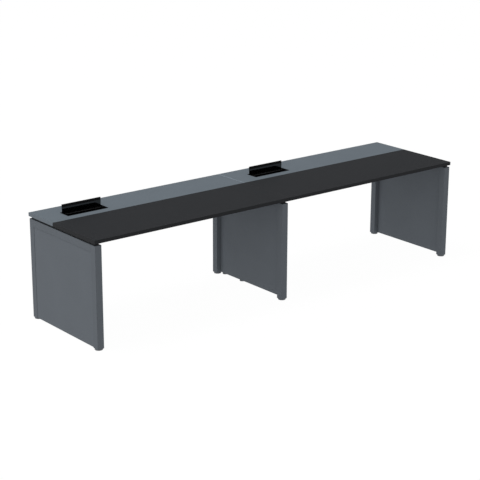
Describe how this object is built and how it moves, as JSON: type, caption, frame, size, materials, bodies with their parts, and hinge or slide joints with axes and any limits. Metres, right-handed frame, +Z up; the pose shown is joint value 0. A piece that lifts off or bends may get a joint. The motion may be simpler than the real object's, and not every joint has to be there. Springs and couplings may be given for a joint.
{
  "type": "benching desk",
  "caption": "Straight benching desk in two bays on panel-leg frames, with two-tone tops, flap socket boxes with hinged lids, cable trays and a cable riser.",
  "frame": {"origin": "on the floor, under the middle of the tops", "axes": "+X along the length to the right of a seated user, +Y away from the users to the rear, +Z up"},
  "size_m": [3.2, 0.8, 0.8047],
  "materials": {
    "black_top": "black melamine face on board, fine texture",
    "grey_top": "grey melamine face on board, fine texture",
    "grey_steel": "grey powder coat",
    "grey_panel": "grey melamine face on board",
    "black_steel": "black powder coat",
    "foot_plastic": "moulded grey plastic",
    "black_plastic": "polished black plastic",
    "zinc_steel": "bright zinc plate",
    "socket_plastic": "moulded black plastic"
  },
  "bodies": {
    "desk": {"left_front_top": "black_top", "left_rear_top": "grey_top", "right_front_top": "black_top", "right_rear_top": "grey_top", "left_front_post": "grey_steel", "left_rear_post": "grey_steel", "left_top_rail": "grey_steel", "left_panel": "grey_panel", "left_spacer_bar": "black_steel", "middle_front_post": "grey_steel", "middle_rear_post": "grey_steel", "middle_top_rail": "grey_steel", "middle_panel": "grey_panel", "middle_spacer_bar": "black_steel", "right_front_post": "grey_steel", "right_rear_post": "grey_steel", "right_top_rail": "grey_steel", "right_panel": "grey_panel", "right_spacer_bar": "black_steel", "left_front_beam": "black_steel", "left_front_beam_bolt_a": "zinc_steel", "left_front_beam_bolt_b": "zinc_steel", "left_rear_beam": "black_steel", "left_rear_beam_bolt_a": "zinc_steel", "left_rear_beam_bolt_b": "zinc_steel", "right_front_beam": "black_steel", "right_front_beam_bolt_a": "zinc_steel", "right_front_beam_bolt_b": "zinc_steel", "right_rear_beam": "black_steel", "right_rear_beam_bolt_a": "zinc_steel", "right_rear_beam_bolt_b": "zinc_steel", "right_bearer_bar": "black_steel", "left_flap_bezel": "black_plastic", "left_flap_hinge_rod": "black_steel", "left_socket_well": "black_steel", "left_socket_rail": "black_steel", "left_power_socket_a": "socket_plastic", "left_power_socket_b": "socket_plastic", "left_data_socket": "socket_plastic", "left_cable_tray": "black_steel", "right_flap_bezel": "black_plastic", "right_flap_hinge_rod": "black_steel", "right_socket_well": "black_steel", "right_socket_rail": "black_steel", "right_power_socket_a": "socket_plastic", "right_power_socket_b": "socket_plastic", "right_data_socket": "socket_plastic", "right_cable_tray": "black_steel", "riser_body": "grey_steel", "riser_cover": "grey_steel"},
    "left_lid": {"left_flap_lid": "black_plastic"},
    "right_lid": {"right_flap_lid": "black_plastic"},
    "left_front_foot_screw": {"left_front_foot": "foot_plastic"},
    "left_rear_foot_screw": {"left_rear_foot": "foot_plastic"},
    "middle_front_foot_screw": {"middle_front_foot": "foot_plastic"},
    "middle_rear_foot_screw": {"middle_rear_foot": "foot_plastic"},
    "right_front_foot_screw": {"right_front_foot": "foot_plastic"},
    "right_rear_foot_screw": {"right_rear_foot": "foot_plastic"},
    "riser_front_foot_screw": {"riser_front_foot": "foot_plastic"},
    "riser_rear_foot_screw": {"riser_rear_foot": "foot_plastic"}
  },
  "joints": [
    {"name": "left_lid_hinge", "type": "hinge", "parent": "desk", "child": "left_lid", "pos_m": [-1.28, 0.236, 0.7357], "axis": [1, 0, 0], "range_deg": [0, 93]},
    {"name": "right_lid_hinge", "type": "hinge", "parent": "desk", "child": "right_lid", "pos_m": [0.32, 0.236, 0.7357], "axis": [1, 0, 0], "range_deg": [0, 93]},
    {"name": "left_front_foot_adjust", "type": "slide", "parent": "desk", "child": "left_front_foot_screw", "axis": [0, 0, -1], "range_m": [0, 0.015]},
    {"name": "left_rear_foot_adjust", "type": "slide", "parent": "desk", "child": "left_rear_foot_screw", "axis": [0, 0, -1], "range_m": [0, 0.015]},
    {"name": "middle_front_foot_adjust", "type": "slide", "parent": "desk", "child": "middle_front_foot_screw", "axis": [0, 0, -1], "range_m": [0, 0.015]},
    {"name": "middle_rear_foot_adjust", "type": "slide", "parent": "desk", "child": "middle_rear_foot_screw", "axis": [0, 0, -1], "range_m": [0, 0.015]},
    {"name": "right_front_foot_adjust", "type": "slide", "parent": "desk", "child": "right_front_foot_screw", "axis": [0, 0, -1], "range_m": [0, 0.015]},
    {"name": "right_rear_foot_adjust", "type": "slide", "parent": "desk", "child": "right_rear_foot_screw", "axis": [0, 0, -1], "range_m": [0, 0.015]},
    {"name": "riser_front_foot_adjust", "type": "slide", "parent": "desk", "child": "riser_front_foot_screw", "axis": [0, 0, -1], "range_m": [0, 0.015]},
    {"name": "riser_rear_foot_adjust", "type": "slide", "parent": "desk", "child": "riser_rear_foot_screw", "axis": [0, 0, -1], "range_m": [0, 0.015]}
  ]
}
